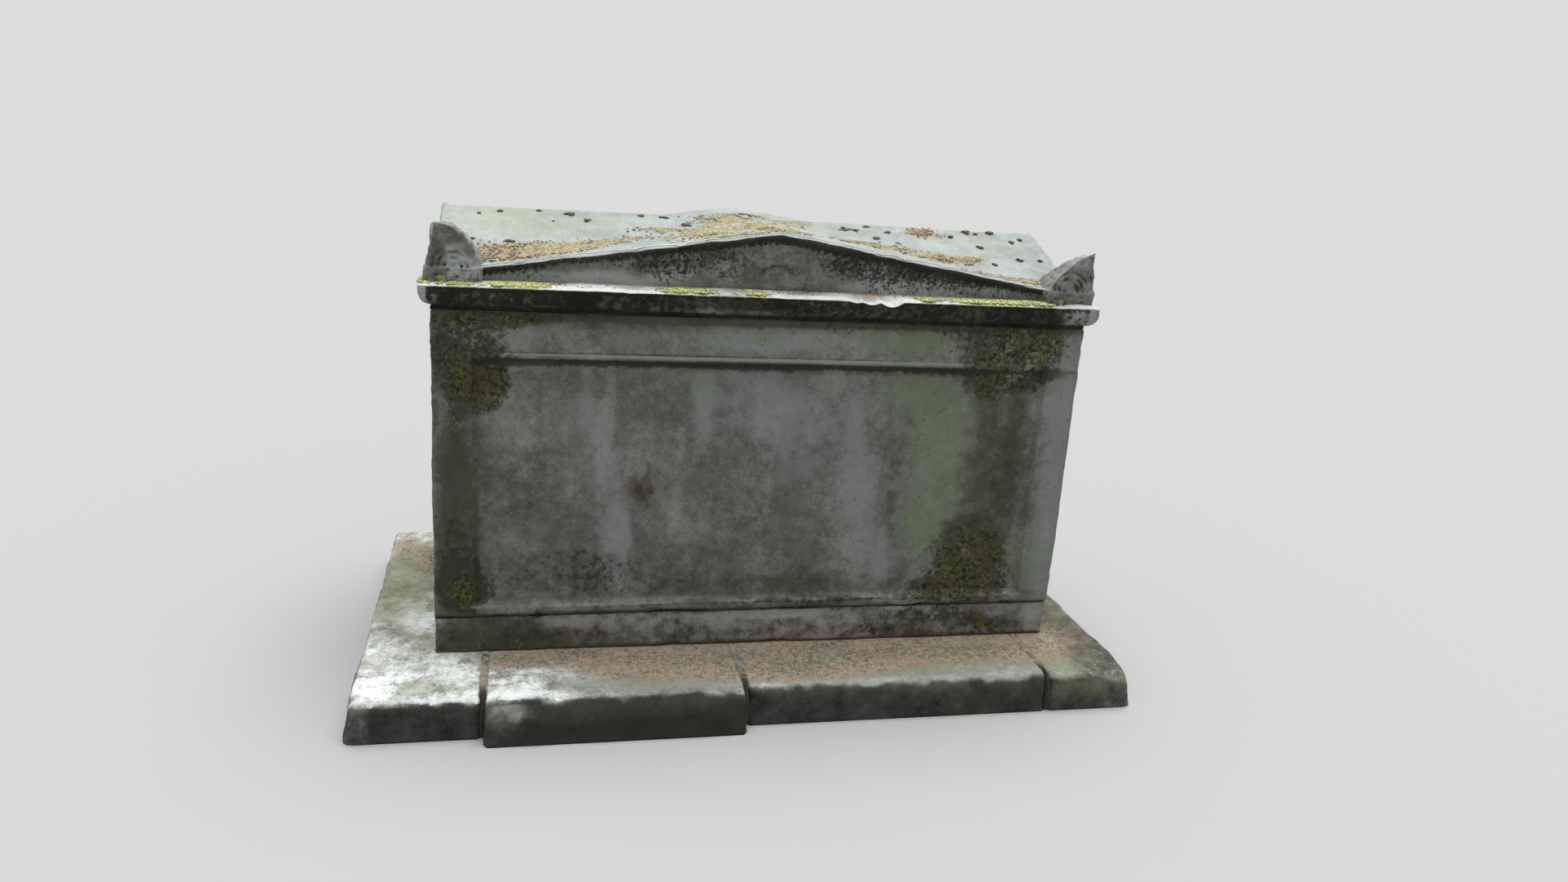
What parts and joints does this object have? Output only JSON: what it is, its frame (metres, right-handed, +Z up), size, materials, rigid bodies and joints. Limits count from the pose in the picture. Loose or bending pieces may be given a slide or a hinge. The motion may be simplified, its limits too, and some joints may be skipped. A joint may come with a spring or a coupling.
{
  "type": "stone sarcophagus",
  "caption": "Weathered stone sarcophagus: hollow chest with sunk panels on a paved base, under a cross-gabled lid with pediments and corner acroteria.",
  "frame": {"origin": "bottom centre of the whole object, on the plane of the ground", "axes": "+X along the long front, to the right as seen from the front; +Y from the front towards the back; +Z up"},
  "size_m": [2.33, 1.39, 1.3949],
  "materials": {
    "base_stone": "rough, weathered, with moss and pale lichen",
    "plinth_stone": "rough, dark and mossy",
    "chest_stone": "rough, dark grey-brown with pale streaks and green algae",
    "lid_stone": "rough, pale grey-green above and blackened on its faces, with moss"
  },
  "bodies": {
    "root": {"base_stone_left": "base_stone", "base_stone_middle_left": "base_stone", "base_stone_middle_right": "base_stone", "base_stone_right": "base_stone", "plinth_course": "plinth_stone", "chest": "chest_stone", "lid": "lid_stone"}
  },
  "joints": []
}
